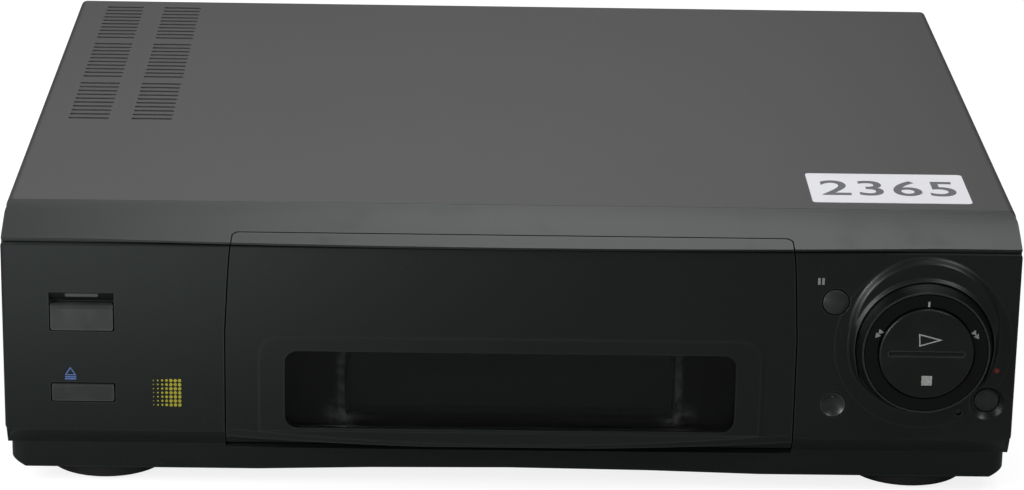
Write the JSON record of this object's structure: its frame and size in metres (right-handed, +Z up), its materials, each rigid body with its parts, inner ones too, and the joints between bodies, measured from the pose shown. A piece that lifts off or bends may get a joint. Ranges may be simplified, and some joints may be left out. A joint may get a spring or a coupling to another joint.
{
  "type": "video cassette recorder",
  "caption": "Front loading video cassette recorder with a drop down front door and display window, shuttle dial, vented steel cover and working cassette lift and tape deck.",
  "frame": {"origin": "on the floor under the middle of the bounding box", "axes": "+X to the right seen from the front, +Y from the front panel to the back, +Z up"},
  "size_m": [0.3626, 0.302, 0.1022],
  "materials": {
    "case_plastic": "fine moulded texture, satin black",
    "steel_cover": "fine textured dark grey paint",
    "zinc_steel": "zinc plated sheet steel",
    "alloy": "turned and die cast aluminium",
    "steel_pin": "plated steel",
    "black_paint": "black painted sheet steel",
    "soft_pad": "felt and rubber pads",
    "smoked_window": "smoked clear plastic, glossy",
    "inner_plastic": "matt black moulding",
    "gloss_ring": "gloss black",
    "lens": "pale diffusing lens",
    "board": "green printed circuit board",
    "brown_board": "brown paper printed circuit board",
    "chips": "moulded components",
    "tube_glass": "vacuum display, dark glass",
    "core": "laminated core and winding",
    "jack": "socket moulding",
    "rubber": "pinch roller rubber",
    "white_plastic": "natural moulded plastic",
    "dark_wheel": "dark moulded plastic"
  },
  "bodies": {
    "chassis": {"front_bezel": "case_plastic", "top_cover": "steel_cover", "bottom_chassis": "zinc_steel", "rear_panel": "black_paint", "feet": "case_plastic", "foot_pads": "soft_pad", "case_screws": "steel_pin", "inner_fascia": "inner_plastic", "indicator_lenses": "lens", "index_ring": "gloss_ring", "left_switch_board": "brown_board", "right_switch_board": "brown_board", "display_board": "board", "display_tube": "tube_glass", "main_board": "board", "main_components": "chips", "power_board": "brown_board", "power_components": "chips", "transformer": "core", "heat_sink": "alloy", "tuner_module": "zinc_steel", "scart_sockets": "inner_plastic", "phono_jacks": "jack", "mains_inlet": "inner_plastic", "deck_base": "zinc_steel", "deck_posts": "steel_pin", "lift_brackets": "zinc_steel", "lower_drum": "alloy", "capstan_motor": "alloy", "erase_head": "alloy", "sound_head": "alloy", "loading_motor": "steel_pin", "ribbon_cable": "white_plastic"},
    "door": {"door_panel": "case_plastic", "door_window": "smoked_window"},
    "flap": {"cassette_flap": "inner_plastic"},
    "power_button": {"power_button": "case_plastic"},
    "eject_button": {"eject_button": "case_plastic"},
    "pause_button": {"pause_button": "case_plastic"},
    "timer_button": {"timer_button": "case_plastic"},
    "record_button": {"record_button": "case_plastic"},
    "shuttle_ring": {"shuttle_ring": "case_plastic"},
    "rocker": {"play_stop_rocker": "case_plastic"},
    "front_arms": {"front_lift_arms": "zinc_steel"},
    "holder": {"cassette_holder": "zinc_steel"},
    "rear_arms": {"rear_lift_arms": "zinc_steel"},
    "upper_drum": {"upper_drum": "alloy"},
    "capstan": {"capstan": "steel_pin"},
    "supply_reel": {"supply_reel": "dark_wheel"},
    "take_up_reel": {"take_up_reel": "dark_wheel"},
    "pinch_arm": {"pinch_arm": "zinc_steel"},
    "pinch_roller": {"pinch_roller": "rubber"},
    "left_guide": {"left_guide": "alloy"},
    "right_guide": {"right_guide": "alloy"},
    "cam_gear": {"cam_gear": "white_plastic"},
    "motor_pinion": {"motor_pinion": "white_plastic"}
  },
  "joints": [
    {"name": "door_hinge", "type": "hinge", "parent": "chassis", "child": "door", "pos_m": [0, -0.1364, 0.0188], "axis": [1, 0, 0], "range_deg": [0, 75]},
    {"name": "flap_hinge", "type": "hinge", "parent": "chassis", "child": "flap", "pos_m": [0, -0.1282, 0.0892], "axis": [1, 0, 0], "range_deg": [0, 80], "stiffness_Nm_per_rad": 0.004},
    {"name": "power_push", "type": "slide", "parent": "chassis", "child": "power_button", "axis": [0, 1, 0], "range_m": [0, 0.001], "stiffness_N_per_m": 400},
    {"name": "eject_push", "type": "slide", "parent": "chassis", "child": "eject_button", "axis": [0, 1, 0], "range_m": [0, 0.001], "stiffness_N_per_m": 400},
    {"name": "pause_push", "type": "slide", "parent": "chassis", "child": "pause_button", "axis": [0, 1, 0], "range_m": [0, 0.001], "stiffness_N_per_m": 400},
    {"name": "timer_push", "type": "slide", "parent": "chassis", "child": "timer_button", "axis": [0, 1, 0], "range_m": [0, 0.001], "stiffness_N_per_m": 400},
    {"name": "record_push", "type": "slide", "parent": "chassis", "child": "record_button", "axis": [0, 1, 0], "range_m": [0, 0.001], "stiffness_N_per_m": 400},
    {"name": "shuttle_turn", "type": "hinge", "parent": "chassis", "child": "shuttle_ring", "pos_m": [0.1465, -0.1414, 0.0585], "axis": [0, 1, 0], "range_deg": [-70, 70], "stiffness_Nm_per_rad": 0.02},
    {"name": "play_stop_rock", "type": "hinge", "parent": "chassis", "child": "rocker", "pos_m": [0.1465, -0.1444, 0.0585], "axis": [1, 0, 0], "range_deg": [-2.5, 2.5], "stiffness_Nm_per_rad": 0.3},
    {"name": "lift_hinge", "type": "hinge", "parent": "chassis", "child": "front_arms", "pos_m": [0, -0.0964, 0.031], "axis": [1, 0, 0], "range_deg": [-75, 0]},
    {"name": "holder_hinge", "type": "hinge", "parent": "front_arms", "child": "holder", "pos_m": [0, -0.0964, 0.0647], "axis": [1, 0, 0], "range_deg": [0, 75]},
    {"name": "rear_lift_hinge", "type": "hinge", "parent": "chassis", "child": "rear_arms", "pos_m": [0, -0.0414, 0.031], "axis": [1, 0, 0], "range_deg": [-75, 0]},
    {"name": "drum_spin", "type": "hinge", "parent": "chassis", "child": "upper_drum", "pos_m": [0, 0.0486, 0.0315], "axis": [0, -0.1045, 0.9945], "continuous": true},
    {"name": "capstan_spin", "type": "hinge", "parent": "chassis", "child": "capstan", "pos_m": [0.066, 0.0216, 0.02], "axis": [0, 0, 1], "continuous": true},
    {"name": "supply_spin", "type": "hinge", "parent": "chassis", "child": "supply_reel", "pos_m": [-0.046, -0.0464, 0.03], "axis": [0, 0, 1], "continuous": true},
    {"name": "take_up_spin", "type": "hinge", "parent": "chassis", "child": "take_up_reel", "pos_m": [0.046, -0.0464, 0.03], "axis": [0, 0, 1], "continuous": true},
    {"name": "pinch_hinge", "type": "hinge", "parent": "chassis", "child": "pinch_arm", "pos_m": [0.092, 0.0306, 0.03], "axis": [0, 0, 1], "range_deg": [0, 18], "stiffness_Nm_per_rad": 0.01},
    {"name": "roller_spin", "type": "hinge", "parent": "pinch_arm", "child": "pinch_roller", "pos_m": [0.07229, 0.03337, 0.04], "axis": [0, 0, 1], "continuous": true},
    {"name": "cam_turn", "type": "hinge", "parent": "chassis", "child": "cam_gear", "pos_m": [-0.072, 0.0666, 0.029], "axis": [0, 0, 1], "range_deg": [0, 270]},
    {"name": "pinion_turn", "type": "hinge", "parent": "chassis", "child": "motor_pinion", "pos_m": [-0.09127, 0.07773, 0.029], "axis": [0, 0, 1], "range_deg": [-1080, 0]},
    {"name": "right_guide_turn", "type": "hinge", "parent": "chassis", "child": "right_guide", "pos_m": [0, 0.0486, 0.0265], "axis": [0, 0, 1], "range_deg": [0, 90]},
    {"name": "left_guide_turn", "type": "hinge", "parent": "chassis", "child": "left_guide", "pos_m": [0, 0.0486, 0.0265], "axis": [0, 0, 1], "range_deg": [-90, 0]}
  ],
  "couplings": [
    {"joint": "holder_hinge", "follows": "lift_hinge", "ratio": -1},
    {"joint": "rear_lift_hinge", "follows": "lift_hinge", "ratio": 1},
    {"joint": "pinion_turn", "follows": "cam_turn", "ratio": -4},
    {"joint": "right_guide_turn", "follows": "cam_turn", "ratio": 0.33333},
    {"joint": "left_guide_turn", "follows": "cam_turn", "ratio": -0.33333}
  ]
}
